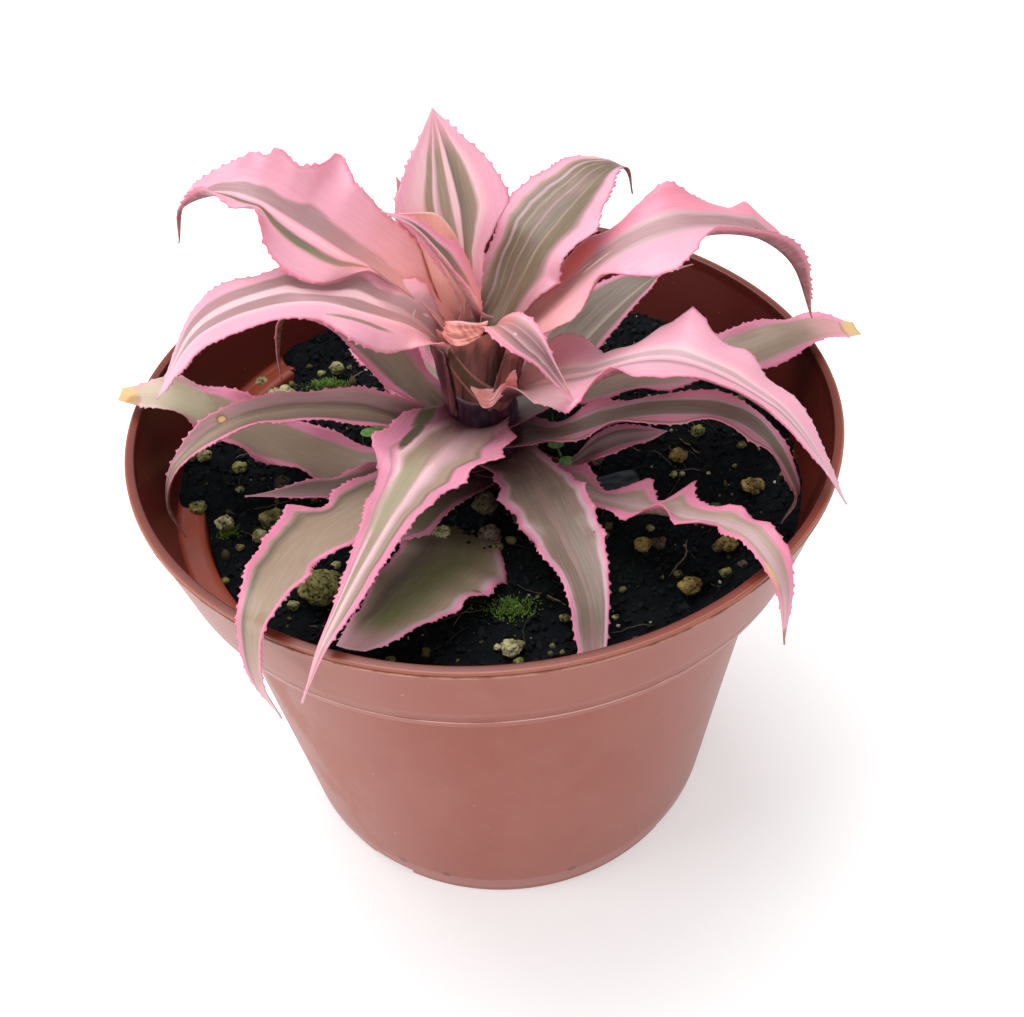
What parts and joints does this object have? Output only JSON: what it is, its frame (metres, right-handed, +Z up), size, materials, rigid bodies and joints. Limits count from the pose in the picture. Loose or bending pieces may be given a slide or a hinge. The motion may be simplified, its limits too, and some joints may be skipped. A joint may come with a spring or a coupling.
{
  "type": "potted earth star plant",
  "caption": "Low rosette plant with long arching pink and olive striped leaves on a short stem, growing in a round tapered nursery pot filled with soil.",
  "frame": {"origin": "centre of the underside of the pot, on the surface that it stands on", "axes": "+Z up along the pot's axis, -Y towards the front, +X to the right as seen from the front"},
  "size_m": [0.1506, 0.1407, 0.1548],
  "materials": {
    "pot_plastic": "satin",
    "soil": "matte",
    "stem": "matte",
    "leaf_pink": "satin",
    "leaf_olive": "satin",
    "pumice_pale": "matte",
    "pumice_olive": "matte",
    "pumice_yellow": "matte",
    "brown_stone": "matte",
    "dark_bark": "satin",
    "seedling_green": "satin"
  },
  "bodies": {
    "root": {"bark_chip": "dark_bark", "leaf_back_left": "leaf_pink", "leaf_back_right": "leaf_pink", "leaf_front": "leaf_olive", "leaf_front_left": "leaf_olive", "leaf_front_right": "leaf_olive", "leaf_heart_front": "leaf_pink", "leaf_heart_left": "leaf_pink", "leaf_hidden_back": "leaf_olive", "leaf_hidden_back_left": "leaf_olive", "leaf_hidden_back_right": "leaf_olive", "leaf_left": "leaf_pink", "leaf_low_back_right": "leaf_olive", "leaf_low_front": "leaf_olive", "leaf_low_left": "leaf_olive", "leaf_low_right_front": "leaf_olive", "leaf_lower_left": "leaf_olive", "leaf_lower_right": "leaf_olive", "leaf_right": "leaf_pink", "leaf_right_front": "leaf_pink", "leaf_short_left": "leaf_olive", "leaf_short_right": "leaf_olive", "leaf_top_back": "leaf_pink", "leaf_top_back_left": "leaf_pink", "leaf_upper_left": "leaf_pink", "leaf_upper_right": "leaf_pink", "leaf_young_front": "leaf_olive", "pot": "pot_plastic", "potting_soil": "soil", "pumice_back": "pumice_pale", "pumice_back_left": "pumice_pale", "pumice_front": "pumice_pale", "pumice_front_left": "pumice_olive", "pumice_left": "pumice_pale", "pumice_left_inner": "pumice_pale", "pumice_low_right": "pumice_yellow", "pumice_right": "pumice_yellow", "pumice_right_back": "pumice_yellow", "pumice_right_front": "pumice_yellow", "pumice_right_inner": "pumice_yellow", "seedling_left": "seedling_green", "seedling_right": "seedling_green", "stem": "stem", "stone_brown": "brown_stone"}
  },
  "joints": []
}
